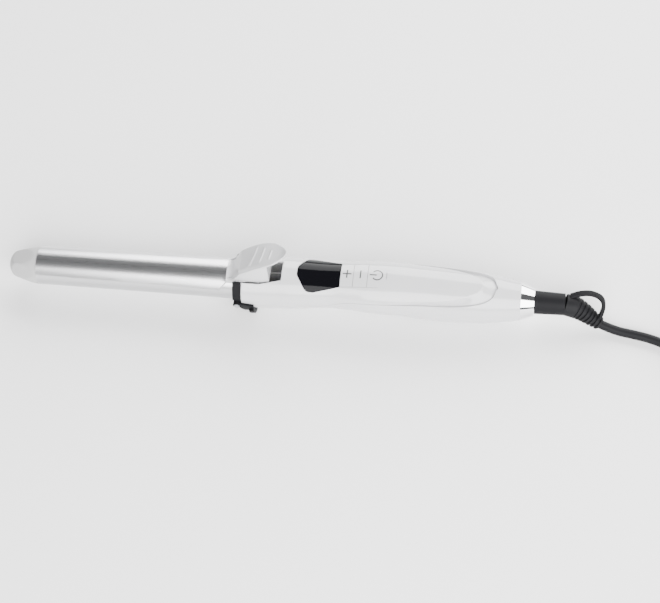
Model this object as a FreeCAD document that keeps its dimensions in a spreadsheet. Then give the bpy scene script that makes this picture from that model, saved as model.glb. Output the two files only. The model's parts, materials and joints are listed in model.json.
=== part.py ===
import FreeCAD, Part
import math
import os
import re
import Sketcher

# Curling iron: clamp barrel, folding stand, handle with display and buttons, swivel cord.
# Distances "along" run from the nose of the cool tip towards the cord (+X), "across" is +Y
# and "up" is +Z, both from the barrel's axis. The frame's origin is on the surface that the
# iron lies on, halfway between the nose and the end of the swivel cup.

V = FreeCAD.Vector
doc = FreeCAD.newDocument("curling_iron")
sheet = doc.addObject("Spreadsheet::Sheet", "Sheet")

SIZES = {
    "origin_from_nose": 185.5,
    "axis_height": 17.2,
    # heated end
    "tip_length": 20.8,
    "nose_radius": 11.3,
    "tip_side_radius": 50.3,
    "tip_spigot_radius": 11.4,
    "tube_radius": 12.5,
    "tube_wall": 0.9,
    "tube_end": 171.5,
    "heater_start": 34,
    "heater_length": 104,
    "heater_width": 15,
    "heater_thickness": 1.6,
    "spreader_radius": 11.5,
    # collar and socket
    "collar_start": 154.6,
    "collar_length": 5.4,
    "collar_radius": 17.4,
    "collar_low_radius": 14.2,
    "collar_cheek_height": 2.7,
    "handle_start": 160.3,
    "slot_half_width": 9.9,
    "slot_rear_half_width": 6.9,
    "slot_narrows": 172,
    "slot_end": 186.5,
    "socket_radius": 14.5,
    "socket_length": 10.5,
    # clamp
    "hinge_place": 166,
    "hinge_height": 15.8,
    "pin_radius": 1.25,
    "running_clearance": 0.05,
    "ear_radius": 2.1,
    "ear_inner": 6.0,
    "ear_thickness": 1.2,
    "blade_start": 21.3,
    "blade_full_end": 150,
    "blade_tongue_end": 160,
    "blade_thickness": 0.75,
    "blade_gap_front": 0.25,
    "blade_gap_rear": 1.6,
    "blade_edge_height": 7.2,
    "lever_half_width": 9.5,
    "lever_bottom": 13.4,
    "web_rear": 178.5,
    "spring_wire": 0.7,
    # stand
    "stand_pivot_place": 157.4,
    "stand_pivot_height": -0.5,
    "stand_ear_radius": 2.6,
    "stand_inner_radius": 18.05,
    "stand_outer_radius": 19.3,
    "stand_rear": 168.5,
    "foot_length": 3,
    "foot_radius": 21,
    "stand_plate": 1.9,
    "stand_pin_radius": 1.1,
    # handle
    "wall": 2.2,
    "handle_end": 342,
    "ring_length": 8.7,
    "ring_front_radius": 12.6,
    "ring_rear_radius": 9.2,
    "window_depth": 1.2,
    "upper_post_radius": 2.6,
    "lower_post_radius": 3.2,
    "screw_radius": 1,
    "screw_head_radius": 2,
    "screw_sink_radius": 2.2,
    "button_gap": 0.2,
    "button_stem_radius": 1.6,
    "button_stem_low": 11.6,
    "button_stem_height": 6.4,
    "board_start": 193,
    "board_length": 68,
    "board_half_width": 9.5,
    "board_height": 7.4,
    "board_thickness": 1.6,
    # swivel, strain relief and cord
    "cup_front_radius": 7.65,
    "cup_rear_radius": 7.1,
    "cup_end": 370.6,
    "spigot_radius": 5.2,
    "slip_ring_height": 0.35,
    "flange_radius": 7.2,
    "flange_start": 333,
    "cord_radius": 3,
    "hank_start": 447,
    "hank_straight": 110,
    "hank_turn_radius": 21,
    "hank_columns": 2,
    "hank_layers": 3,
    "hank_across": -6,
    "tie_thickness": 0.8,
    "tie_width": 7,
    "plug_length": 36,
    "plug_half_width": 17.65,
    "plug_thickness": 13.7,
    "prong_radius": 2,
    "prong_length": 19,
    "prong_spacing": 19,
}

# Handle sections: along, half width, half height, rise of the centre above the axis.
SECTIONS = [
    (160.3, 17.5, 17.1, 0.0),
    (167.0, 17.48, 17.08, 0.12),
    (175.0, 17.4, 17.0, 0.4),
    (184.0, 17.25, 16.8, 0.9),
    (193.0, 17.1, 16.6, 1.5),
    (217.5, 15.7, 14.9, 3.1),
    (231.5, 16.4, 15.2, 3.7),
    (244.0, 17.5, 15.8, 3.8),
    (263.5, 17.7, 16.4, 3.4),
    (283.0, 17.7, 17.4, 1.6),
    (298.0, 17.6, 17.55, 0.5),
    (310.0, 16.95, 16.9, 0.2),
    (322.5, 15.95, 15.9, 0.1),
    (335.0, 13.95, 13.9, 0.0),
    (342.0, 12.6, 12.6, 0.0),
]
SECTION_NAMES = ("place", "half_width", "half_height", "rise")

for number, section in enumerate(SECTIONS):
    for word, length in zip(SECTION_NAMES, section):
        SIZES[f"section_{number}_{word}"] = length

for row, (alias, length) in enumerate(SIZES.items(), start=1):
    sheet.set(f"A{row}", alias)
    sheet.set(f"B{row}", str(length))
    sheet.setAlias(f"B{row}", alias)
doc.recompute()


def size(alias):
    """A driving dimension, read from the sheet."""
    return float(getattr(sheet, alias))


def formula(text):
    """An expression for the sheet, from words that are its aliases."""
    def cell(found):
        return f"Sheet.{found[0]}" if found[0] in SIZES else found[0]
    return re.sub(r"[a-z][a-z_0-9]*", cell, str(text))


def bind(thing, path, text):
    thing.setExpression(path, formula(text))


def place(thing, along=0, across=0, up=0):
    bind(thing, "Placement.Base.x", f"{along} - origin_from_nose")
    bind(thing, "Placement.Base.y", across)
    bind(thing, "Placement.Base.z", f"{up} + axis_height")


# Part primitives and booleans, in distances from the nose and the axis.

TO_X = FreeCAD.Rotation(V(0, 1, 0), 90)
TO_Y = FreeCAD.Rotation(V(1, 0, 0), -90)
TO_Z = FreeCAD.Rotation()
TO_SECTION = FreeCAD.Rotation(V(0, 1, 0), V(0, 0, 1), V(1, 0, 0), "XYZ")


def cylinder(name, turn, radius, length, along, across=0, up=0):
    thing = doc.addObject("Part::Cylinder", name)
    thing.Placement = FreeCAD.Placement(V(), turn)
    bind(thing, "Radius", radius)
    bind(thing, "Height", length)
    place(thing, along, across, up)
    return thing


def box(name, along, length, across, width, up, height):
    thing = doc.addObject("Part::Box", name)
    bind(thing, "Length", length)
    bind(thing, "Width", width)
    bind(thing, "Height", height)
    place(thing, along, across, up)
    return thing


def fuse(name, *shapes):
    thing = doc.addObject("Part::MultiFuse", name)
    thing.Shapes = list(shapes)
    return thing


def cut(name, base, *tools):
    for number, tool in enumerate(tools):
        last = number == len(tools) - 1
        thing = doc.addObject("Part::Cut", name if last else f"{name}_step_{number}")
        thing.Base = base
        thing.Tool = tool
        base = thing
    return base


def common(name, *shapes):
    thing = doc.addObject("Part::MultiCommon", name)
    thing.Shapes = list(shapes)
    return thing


def origin_plane(body, role):
    return next(item for item in body.Origin.OriginFeatures if item.Role == role)


def sketch_outline(body, plane, points):
    """A closed outline of straight lines on a body's plane, each corner bound to the sheet."""
    sketch = body.newObject("Sketcher::SketchObject", body.Name + "_outline")
    sketch.AttachmentSupport = [(origin_plane(body, plane), "")]
    sketch.MapMode = "FlatFace"
    numbers = [[length_of(part) for part in point] for point in points]
    for number, start in enumerate(numbers):
        end = numbers[(number + 1) % len(numbers)]
        sketch.addGeometry(Part.LineSegment(V(start[0], start[1], 0), V(end[0], end[1], 0)))
    for number in range(len(points)):
        previous = (number - 1) % len(points)
        sketch.addConstraint(Sketcher.Constraint("Coincident", previous, 2, number, 1))
    for number, point in enumerate(points):
        for kind, text, at in zip(("DistanceX", "DistanceY"), point, numbers[number]):
            if abs(at) < 1e-9:
                line = -2 if kind == "DistanceX" else -1
                sketch.addConstraint(Sketcher.Constraint("PointOnObject", number, 1, line))
                continue
            added = sketch.addConstraint(Sketcher.Constraint(kind, -1, 1, number, 1, at))
            sketch.setExpression(f"Constraints[{added}]", formula(text))
    return sketch


def length_of(text):
    """The value of a sum of numbers and aliases, such as "tip_length + 2"."""
    total = 0.0
    for sign, word in re.findall(r"([+-]?)\s*([a-z][a-z_0-9]*|[0-9.]+)", str(text)):
        number = size(word) if word in SIZES else float(word)
        total += -number if sign == "-" else number
    return total


def turned(name, points):
    """A body turned about the iron's axis from an outline of (along, radius) corners."""
    body = doc.addObject("PartDesign::Body", name)
    place(body)
    sketch = sketch_outline(body, "XZ_Plane", points)
    turn = body.newObject("PartDesign::Revolution", name + "_turn")
    turn.Profile = sketch
    turn.ReferenceAxis = (sketch, ["H_Axis"])
    turn.Angle = 360
    return body


def padded(name, plane, points, height, start=0, rounding=None):
    """A body padded both up from a plane, with chosen corners rounded."""
    body = doc.addObject("PartDesign::Body", name)
    place(body, 0, 0, start)
    sketch = sketch_outline(body, plane, points)
    pad = body.newObject("PartDesign::Pad", name + "_pad")
    pad.Profile = sketch
    bind(pad, "Length", height)
    doc.recompute()
    for number, radius in (rounding or {}).items():
        corner = [length_of(part) for part in points[number]]
        found = []
        for index, edge in enumerate(pad.Shape.Edges, start=1):
            ends = [vertex.Point for vertex in edge.Vertexes]
            if all(math.hypot(end.x - corner[0], end.y - corner[1]) < 1e-6 for end in ends):
                found.append(f"Edge{index}")
        fillet = body.newObject("PartDesign::Fillet", f"{name}_round_{number}")
        fillet.Base = (pad, found)
        bind(fillet, "Radius", radius)
        doc.recompute()
        pad = fillet
    return body


def feature(name, shape):
    """A free-form shape, worked out from the sheet in distances from the nose and the axis."""
    frame = FreeCAD.Placement(V(-size("origin_from_nose"), 0, size("axis_height")), TO_Z)
    thing = doc.addObject("Part::Feature", name)
    thing.Shape = shape
    thing.Placement = frame.multiply(shape.Placement)
    return thing


def side_prism(name, curves, half_width):
    """A shape with one outline seen from the side, the same all the way across."""
    face = Part.Face(Part.Wire(curves))
    face.translate(V(0, -half_width, 0))
    return feature(name, face.extrude(V(0, 2 * half_width, 0)))


def spline(points):
    curve = Part.BSplineCurve()
    curve.interpolate([V(along, 0, up) for along, up in points])
    return curve.toShape()


def line(start, end):
    return Part.LineSegment(V(start[0], 0, start[1]), V(end[0], 0, end[1])).toShape()


NODES = {}


def node(name, thing):
    """Names a finished piece. The name is also its file's name."""
    thing.Label = name
    NODES[name] = thing
    return thing


# Heated end

def make_tip():
    """A blunt dome: a round nose, a flatter side tangent to it, and a spigot into the tube."""
    body = doc.addObject("PartDesign::Body", "cool_tip")
    place(body)
    sketch = body.newObject("Sketcher::SketchObject", "cool_tip_outline")
    sketch.AttachmentSupport = [(origin_plane(body, "XZ_Plane"), "")]
    sketch.MapMode = "FlatFace"
    constraint = Sketcher.Constraint
    length = size("tip_length")
    nose = size("nose_radius")
    rim = size("tube_radius")
    side = size("tip_side_radius")
    nose_end = 1.81
    circle = Part.Circle(V(nose, 0, 0), V(0, 0, 1), nose)
    sketch.addGeometry(Part.ArcOfCircle(circle, nose_end, math.pi))
    circle = Part.Circle(V(length, rim - side, 0), V(0, 0, 1), side)
    sketch.addGeometry(Part.ArcOfCircle(circle, math.pi / 2, nose_end))
    corners = [("tip_length", "tube_radius"), ("tip_length", "tip_spigot_radius"),
               ("tip_length + 5", "tip_spigot_radius"), ("tip_length + 5", "0"), ("0", "0")]
    spots = [V(length_of(along), length_of(radius), 0) for along, radius in corners]
    for start, end in zip(spots, spots[1:]):
        sketch.addGeometry(Part.LineSegment(start, end))
    sketch.addConstraint(constraint("Coincident", 0, 2, -1, 1))
    sketch.addConstraint(constraint("PointOnObject", 0, 3, -1))
    sketch.addConstraint(constraint("Tangent", 0, 1, 1, 2))
    sketch.addConstraint(constraint("Coincident", 1, 1, 2, 1))
    for number, (along, radius) in enumerate(corners[:-1]):
        added = sketch.addConstraint(constraint("DistanceX", -1, 1, number + 2, 1, length_of(along)))
        sketch.setExpression(f"Constraints[{added}]", formula(along))
        if radius == "0":
            sketch.addConstraint(constraint("PointOnObject", number + 2, 1, -1))
        else:
            added = sketch.addConstraint(constraint("DistanceY", -1, 1, number + 2, 1, length_of(radius)))
            sketch.setExpression(f"Constraints[{added}]", formula(radius))
        if number:
            sketch.addConstraint(constraint("Coincident", number + 1, 2, number + 2, 1))
    sketch.addConstraint(constraint("Coincident", 5, 2, -1, 1))
    for number, alias in ((0, "nose_radius"), (1, "tip_side_radius")):
        added = sketch.addConstraint(constraint("Radius", number, size(alias)))
        sketch.setExpression(f"Constraints[{added}]", formula(alias))
    turn = body.newObject("PartDesign::Revolution", "cool_tip_turn")
    turn.Profile = sketch
    turn.ReferenceAxis = (sketch, ["H_Axis"])
    turn.Angle = 360
    node("cool_tip", body)


def make_heated_end():
    make_tip()
    bore = "tube_radius - tube_wall"
    node("barrel_tube", turned("barrel_tube", [
        ("tip_length", bore), ("tube_end", bore),
        ("tube_end", "tube_radius"), ("tip_length", "tube_radius")]))
    node("tip_insulator", cylinder("tip_insulator", TO_X, "11.4", "2", "tip_length + 5"))
    plate_half = "heater_thickness / 2"
    node("heater_element", box(
        "heater_element", "heater_start", "heater_length", "0 - heater_width / 2", "heater_width",
        f"0 - {plate_half}", "heater_thickness"))
    for side, low, height in (("upper", plate_half, "12"), ("lower", f"0 - {plate_half} - 12", "12")):
        name = f"heat_spreader_{side}"
        bar = cylinder(name + "_bar", TO_X, "spreader_radius", "heater_length", "heater_start")
        half = box(name + "_half", "heater_start", "heater_length", "0 - 12", "24", low, height)
        sign = "" if side == "upper" else "0 - "
        hole = cylinder(name + "_hole", TO_X, "2.2", "heater_length", "heater_start", "0", f"{sign}6")
        node(name, cut(name, common(name + "_solid", bar, half), hole))
    node("temperature_sensor", cylinder(
        "temperature_sensor", TO_X, "1.6", "9", "heater_start + 60", "0", "0 - 6.6"))


# Collar, socket and clamp

def make_collar():
    top = cylinder("collar_ring", TO_X, "collar_radius", "collar_length", "collar_start")
    low_cut = box("collar_low_cut", "collar_start", "collar_length", "0 - 20", "40",
                  "collar_cheek_height - 30", "30")
    upper = cut("collar_upper", top, low_cut)
    low = cylinder("collar_low", TO_X, "collar_low_radius", "collar_length", "collar_start")
    cheeks = cylinder("collar_cheeks", TO_Y, "2.4", "31.2", "stand_pivot_place", "0 - 15.6",
                      "stand_pivot_height")
    solid = fuse("collar_solid", upper, low, cheeks)
    bore = cylinder("collar_bore", TO_X, "tube_radius + 0.02", "collar_length", "collar_start")
    notch = box("collar_notch", "collar_start", "collar_length", "0 - slot_half_width",
                "2 * slot_half_width", "0", "20")
    pins = cylinder("collar_pin_bore", TO_Y, "stand_pin_radius", "60", "stand_pivot_place",
                    "0 - 30", "stand_pivot_height")
    node("front_collar", cut("front_collar", solid, bore, notch, pins))
    ring = cylinder("socket_ring", TO_X, "socket_radius", "socket_length", "handle_start + 0.2")
    hole = cylinder("socket_bore", TO_X, "tube_radius + 0.02", "socket_length", "handle_start + 0.2")
    gap = box("socket_notch", "handle_start", "socket_length + 1", "0 - slot_half_width",
              "2 * slot_half_width", "0", "20")
    node("barrel_socket", cut("barrel_socket", ring, hole, gap))


def make_clamp_hinge():
    start = "handle_start + 2.1"
    saddle = cylinder("saddle_ring", TO_X, "tube_radius + 0.85", "8.8", start)
    strip = box("saddle_strip", start, "8.8", "0 - ear_inner - ear_thickness",
                "2 * (ear_inner + ear_thickness)", "6", "12")
    parts = [common("saddle", saddle, strip)]
    for side, across in (("near", "0 - ear_inner - ear_thickness"), ("far", "ear_inner")):
        disc = cylinder(f"bracket_eye_{side}", TO_Y, "ear_radius", "ear_thickness", "hinge_place",
                        across, "hinge_height")
        web = box(f"bracket_web_{side}", "hinge_place - ear_radius", "2 * ear_radius", across,
                  "ear_thickness", "10.6", "hinge_height - 10.6")
        parts += [disc, web]
    solid = fuse("bracket_solid", *parts)
    bore = cylinder("bracket_tube_bore", TO_X, "tube_radius", "20", "handle_start")
    pin_bore = cylinder("bracket_pin_bore", TO_Y, "pin_radius", "20", "hinge_place", "0 - 10",
                        "hinge_height")
    node("clamp_bracket", cut("clamp_bracket", solid, bore, pin_bore))
    node("clamp_pin", cylinder(
        "clamp_pin", TO_Y, "pin_radius", "2 * (ear_inner + ear_thickness) + 0.8", "hinge_place",
        "0 - ear_inner - ear_thickness - 0.4", "hinge_height"))


def make_clamp_spring():
    """The coil of a torsion spring round the pin."""
    wire = size("spring_wire") / 2
    radius = size("pin_radius") + 0.25 + wire
    pitch = 2 * wire + 0.12
    turns = 6
    centre = V(size("hinge_place"), -pitch * turns / 2, size("hinge_height"))
    helix = Part.makeHelix(pitch, pitch * turns, radius)
    helix.Placement = FreeCAD.Placement(V(), TO_Y)
    start = helix.Vertexes[0].Point
    ring = Part.Wire([Part.Circle(start, V(0, 0, -1), wire).toShape()])
    coil = Part.Wire(helix.Edges).makePipeShell([ring], True, True)
    coil.translate(centre)
    node("clamp_spring", feature("clamp_spring", coil))


def make_blade():
    length = size("blade_full_end") - size("blade_start")
    inner_front = size("tube_radius") + size("blade_gap_front")
    slope = (size("blade_gap_rear") - size("blade_gap_front")) / length
    tongue_end = size("blade_tongue_end")
    full_length = tongue_end - size("blade_start")
    inner_rear = inner_front + slope * full_length
    thickness = size("blade_thickness")
    start = V(size("blade_start"), 0, 0)
    outer = Part.makeCone(inner_front + thickness, inner_rear + thickness, full_length, start, V(1, 0, 0))
    inner = Part.makeCone(inner_front, inner_rear, full_length, start, V(1, 0, 0))
    shell = outer.cut(inner)
    wide = Part.makeBox(length - 5, 40, 20, V(start.x, -20, size("blade_edge_height")))
    narrow = Part.Face(Part.makePolygon([
        V(size("blade_full_end") - 5.01, -13, 5), V(size("blade_full_end") - 5.01, 13, 5),
        V(size("blade_full_end"), 9, 5), V(tongue_end, 9, 5), V(tongue_end, -9, 5),
        V(size("blade_full_end"), -9, 5), V(size("blade_full_end") - 5.01, -13, 5)]))
    blade = shell.common(wide.fuse(narrow.extrude(V(0, 0, 20))))
    for place_along in (153.2, 157.6):
        hole = Part.makeCylinder(1.0, 6, V(place_along, 0, 11.5))
        blade = blade.cut(hole)
    node("clamp_blade", feature("clamp_blade", blade.removeSplitter()))
    return outer


PAD_TOP = [(149.9, 14.6), (152.0, 16.6), (157.0, 21.0), (163.0, 26.2), (169.0, 30.8), (176.0, 34.8),
           (184.0, 37.6), (192.6, 39.9)]
PAD_BELOW = [(193.0, 38.6), (184.0, 35.3), (178.5, 33.4)]


def make_lever(blade_outer):
    half = size("lever_half_width") + 0.4
    rear = size("web_rear")
    bottom = size("lever_bottom")
    tongue = size("blade_tongue_end")
    front_corner = (PAD_TOP[0][0], 11.0)
    outline = [
        line(front_corner, PAD_TOP[0]), spline(PAD_TOP), line(PAD_TOP[-1], PAD_BELOW[0]),
        spline(PAD_BELOW), line(PAD_BELOW[-1], (rear, bottom)), line((rear, bottom), (tongue, bottom)),
        line((tongue, bottom), (tongue, 11.0)), line((tongue, 11.0), front_corner)]
    side = side_prism("lever_side", outline, half)
    # Seen from above: nearly straight sides, narrowing to a rounded rear end.
    plan = [V(149.0, -8.9, 0), V(158.0, -9.5, 0), V(168.0, -9.9, 0), V(178.0, -9.3, 0),
            V(186.0, -7.0, 0), V(191.0, -3.8, 0), V(193.2, 0, 0)]
    mirrored = [V(point.x, -point.y, 0) for point in reversed(plan[:-1])]
    edge = Part.BSplineCurve()
    edge.interpolate(plan + mirrored)
    closing = Part.LineSegment(mirrored[-1], plan[0])
    pad = Part.Face(Part.Wire([edge.toShape(), closing.toShape()])).extrude(V(0, 0, 60))
    # The web below the pad narrows towards the rear, to pass through the handle's slot.
    web = Part.Face(Part.makePolygon([
        V(149, -9.5, 0), V(171, -9.5, 0), V(rear + 1, -8.0, 0), V(rear + 1, 8.0, 0),
        V(171, 9.5, 0), V(149, 9.5, 0), V(149, -9.5, 0)])).extrude(V(0, 0, 60))
    over = Part.Face(Part.Wire([
        line((148, 13.2), (152, 14.6)), spline([(152, 14.6), (157, 18.8), (163, 24.0), (169, 28.6),
                                                (176, 32.6), (194, 38.2)]),
        line((194, 38.2), (194, 60)), line((194, 60), (148, 60)), line((148, 60), (148, 13.2))]))
    over.translate(V(0, -20, 0))
    over = over.extrude(V(0, 40, 0))
    solid = side.Shape.copy()
    solid.Placement = FreeCAD.Placement()
    solid = solid.common(pad)
    solid = solid.common(over.fuse(web))
    cavity_outline = [line((161.6, 10), (161.6, 21.6)), line((161.6, 21.6), (168.2, 27.0)),
                      line((168.2, 27.0), (176.4, 31.2)), line((176.4, 31.2), (176.4, 10)),
                      line((176.4, 10), (161.6, 10))]
    face = Part.Face(Part.Wire(cavity_outline))
    face.translate(V(0, -20, 0))
    cavity = face.extrude(V(0, 40, 0))
    inner_web = Part.Face(Part.makePolygon([
        V(149, -8, 0), V(170, -8, 0), V(rear, -6.4, 0), V(rear, 6.4, 0), V(170, 8, 0),
        V(149, 8, 0), V(149, -8, 0)])).extrude(V(0, 0, 60))
    solid = solid.cut(cavity.common(inner_web))
    for across in (-5.5, 3.4):
        rib = Part.makeBox(4.4, 2.1, 12, V(size("hinge_place") - 2.2, across, size("hinge_height")))
        eye = Part.makeCylinder(2.2, 2.1, V(size("hinge_place"), across, size("hinge_height")), V(0, 1, 0))
        solid = solid.fuse(rib.fuse(eye))
    bore = Part.makeCylinder(size("pin_radius") + size("running_clearance"), 20,
                             V(size("hinge_place"), -10, size("hinge_height")), V(0, 1, 0))
    solid = solid.cut(bore).cut(blade_outer)
    for place_along in (153.2, 157.6):
        solid = solid.cut(Part.makeCylinder(0.9, 5, V(place_along, 0, 12)))
    doc.removeObject(side.Name)
    node("clamp_lever", feature("clamp_lever", solid.removeSplitter()))
    screws = []
    for place_along, top in ((153.2, 15.6), (157.6, 17.0)):
        shank = Part.makeCylinder(0.9, top - 13.6, V(place_along, 0, 13.6))
        head = Part.makeCylinder(1.7, 0.7, V(place_along, 0, 12.95))
        screws.append(shank.fuse(head))
    node("lever_screws", feature("lever_screws", Part.makeCompound(screws)))


# Stand

def make_stand():
    floor = -size("axis_height")
    inner = size("stand_inner_radius")
    start = V(150, 0, 0)
    strap = Part.makeCylinder(size("stand_outer_radius"), 30, start, V(1, 0, 0))
    rear = size("stand_rear")
    foot = Part.makeCylinder(size("foot_radius"), size("foot_length"),
                             V(rear - size("foot_length"), 0, 0), V(1, 0, 0))
    pivot = (size("stand_pivot_place"), size("stand_pivot_height"))
    ear = size("stand_ear_radius")
    side = Part.Face(Part.Wire(Part.makePolygon([
        V(pivot[0], 0, pivot[1] + ear), V(rear, 0, 0.2), V(rear, 0, floor), V(164.3, 0, floor),
        V(162.2, 0, -9), V(159.4, 0, -3.0), V(pivot[0] - ear, 0, pivot[1]),
        V(pivot[0], 0, pivot[1] + ear)])))
    side.translate(V(0, -25, 0))
    side = side.extrude(V(0, 50, 0))
    disc = Part.makeCylinder(ear, 50, V(pivot[0], -25, pivot[1]), V(0, 1, 0))
    floor_plane = Part.makeBox(60, 60, 22, V(140, -30, floor))
    foot_low = Part.makeBox(60, 60, 18, V(140, -30, floor - 4))
    solid = strap.common(side.fuse(disc)).fuse(foot.common(foot_low)).common(floor_plane)
    hollow = Part.makeCylinder(inner, 40, V(145, 0, 0), V(1, 0, 0))
    relief = Part.makeBox(40, 60, 60, V(145, -30, floor + size("stand_plate")))
    solid = solid.cut(hollow.common(relief))
    # The ears reach further in than the strap, to sit against the collar's cheeks.
    for sign in (-1, 1):
        reach = Part.makeCylinder(ear, 3.2, V(pivot[0], sign * 15.9, pivot[1]), V(0, sign, 0))
        solid = solid.fuse(reach)
        pin = size("stand_pin_radius") + size("running_clearance")
        solid = solid.cut(Part.makeCylinder(pin, 10, V(pivot[0], sign * 14, pivot[1]), V(0, sign, 0)))
    node("stand_bail", feature("stand_bail", solid.removeSplitter()))
    pins = []
    for sign in (-1, 1):
        shank = Part.makeCylinder(size("stand_pin_radius"), 6.6,
                                  V(pivot[0], sign * 12.7, pivot[1]), V(0, sign, 0))
        head = Part.makeCylinder(1.9, 0.5, V(pivot[0], sign * 19.3, pivot[1]), V(0, sign, 0))
        pins.append(shank.fuse(head))
    node("stand_pins", feature("stand_pins", Part.makeCompound(pins)))


# Handle

def loft(name, shrink):
    """The handle's outer shape, or its hollow when shrunk by the wall."""
    rings = []
    for number in range(len(SECTIONS)):
        ring = doc.addObject("Part::Ellipse", f"{name}_ring_{number}")
        ring.Placement = FreeCAD.Placement(V(), TO_SECTION)
        prefix = f"section_{number}"
        bind(ring, "MajorRadius", f"{prefix}_half_width - {shrink}")
        bind(ring, "MinorRadius", f"{prefix}_half_height - {shrink}")
        place(ring, f"{prefix}_place", "0", f"{prefix}_rise")
        rings.append(ring)
    solid = doc.addObject("Part::Loft", name)
    solid.Sections = rings
    solid.Solid = True
    solid.Ruled = False
    return solid


SEAM = [(158.0, -1.8), (190.0, -0.6), (208.0, 0.6), (216.0, 2.4), (223.0, 5.2), (231.5, 7.8),
        (250.0, 9.6), (275.0, 10.6), (298.0, 10.6), (311.0, 11.2), (319.5, 12.6), (325.0, 14.7),
        (328.5, 18.5)]


def window_points():
    """The display window from above: wide and rounded at the front."""
    return [(196.7, "0 - 3"), (196.7, 3), (203, 12.3), (208, 12.3), (224.9, 8.7), (224.9, "0 - 8.7"),
            (208, "0 - 12.3"), (203, "0 - 12.3")]


WINDOW_ROUNDING = {0: 3, 1: 3, 2: 3, 7: 3}
BUTTONS = {
    "plus_button": (225.2, 233.35, 8.6, 8.5, {}),
    "minus_button": (233.65, 242.65, 8.5, 8.4, {}),
    "power_button": (242.95, 255.0, 8.4, 8.0, {1: 6.5, 2: 6.5}),
}


def button_points(name):
    start, end, front, back, _ = BUTTONS[name]
    return [(start, f"0 - {front}"), (end, f"0 - {back}"), (end, back), (start, front)]


HOLE_DEPTH = 30


def make_handle():
    outer = loft("handle_outer", "0")
    inner = loft("handle_inner", "wall")
    lens_floor = loft("lens_floor", "window_depth")
    whole = cut("handle_wall", outer, inner)
    above = side_prism("above_seam", [
        spline(SEAM), line(SEAM[-1], (328.5, 40)), line((328.5, 40), (158.0, 40)),
        line((158.0, 40), SEAM[0])], 30)
    posts = {"front": (189.4, 16.6), "middle": (268.5, 18.4), "rear": (312.0, 15.6)}
    meet = {"front": -1.0, "middle": 4.0, "rear": 4.0}
    low = {"front": -13.6, "middle": -12.0, "rear": -15.2}
    upper_posts, lower_posts, screw_holes, screws = [], [], [], []
    for spot, (along, top) in posts.items():
        upper_posts.append(cylinder(f"upper_post_{spot}", TO_Z, "upper_post_radius",
                                    top - meet[spot], along, "0", meet[spot]))
        lower_posts.append(cylinder(f"lower_post_{spot}", TO_Z, "lower_post_radius",
                                    meet[spot] - low[spot], along, "0", low[spot]))
        hole = Part.makeCylinder(size("screw_radius"), HOLE_DEPTH,
                                 V(along, 0, meet[spot] + 6 - HOLE_DEPTH))
        sink = Part.makeCylinder(size("screw_sink_radius"), 10, V(along, 0, low[spot] - 8))
        screw_holes.append(hole.fuse(sink))
        shank = Part.makeCylinder(size("screw_radius"), meet[spot] + 4 - low[spot],
                                  V(along, 0, low[spot] + 2))
        head = Part.makeCylinder(size("screw_head_radius"), 1.6, V(along, 0, low[spot] + 0.4))
        screws.append(shank.fuse(head))
    holes = feature("shell_screw_holes", Part.makeCompound(screw_holes))
    slot = padded("lever_slot", "XY_Plane", [
        ("handle_start - 1", "0 - slot_half_width"), ("slot_narrows", "0 - slot_half_width"),
        ("slot_end", "0 - slot_rear_half_width"), ("slot_end", "slot_rear_half_width"),
        ("slot_narrows", "slot_half_width"), ("handle_start - 1", "slot_half_width")], "40",
        rounding={2: 1.5, 3: 1.5})
    window = padded("window_hole", "XY_Plane", window_points(), "40", rounding=WINDOW_ROUNDING)
    keys = padded("key_hole", "XY_Plane", [
        ("224.8", "0 - 8.6 - button_gap"), ("255 + button_gap", "0 - 8 - button_gap"),
        ("255 + button_gap", "8 + button_gap"), ("224.8", "8.6 + button_gap")], "40",
        rounding={1: 6.7, 2: 6.7})
    for number, (along, reach) in enumerate(BOARD_SCREWS):
        upper_posts.append(cylinder(f"board_post_{number}", TO_Z, "1.9", reach, along, "0",
                                    "board_height + board_thickness"))
    half = common("upper_half", whole, above)
    with_posts = fuse("upper_with_posts", half, *upper_posts)
    node("upper_shell", cut("upper_shell", with_posts, slot, window, keys, holes))
    lower = cut("lower_half", whole, above)
    relief = box("stand_relief", "handle_start - 1", "9.6", "0 - 12", "24",
                 "stand_plate - axis_height + 0.3 - 10", "10")
    lower_with_posts = fuse("lower_with_posts", lower, *lower_posts)
    node("lower_shell", cut("lower_shell", lower_with_posts, relief, holes))
    node("shell_screws", feature("shell_screws", Part.makeCompound(screws)))
    pane = padded("window_pane", "XY_Plane", window_points(), "40", rounding=WINDOW_ROUNDING)
    skin = cut("window_skin", outer, lens_floor)
    node("display_lens", common("display_lens", skin, pane))
    for number, name in enumerate(BUTTONS):
        start, end, _, _, rounding = BUTTONS[name]
        cap_plan = padded(name + "_plan", "XY_Plane", button_points(name), "40", rounding=rounding)
        cap = common(name + "_cap", whole, cap_plan)
        centre = (start + end) / 2
        stem = cylinder(name + "_stem", TO_Z, "button_stem_radius", "button_stem_height",
                        centre, "0", "button_stem_low")
        node(name, fuse(name, cap, stem))


# What the handle holds

# Along, and the length of the post from the board up into the shell's wall.
BOARD_SCREWS = ((194.9, 8.4), (258.2, 9.8))


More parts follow.
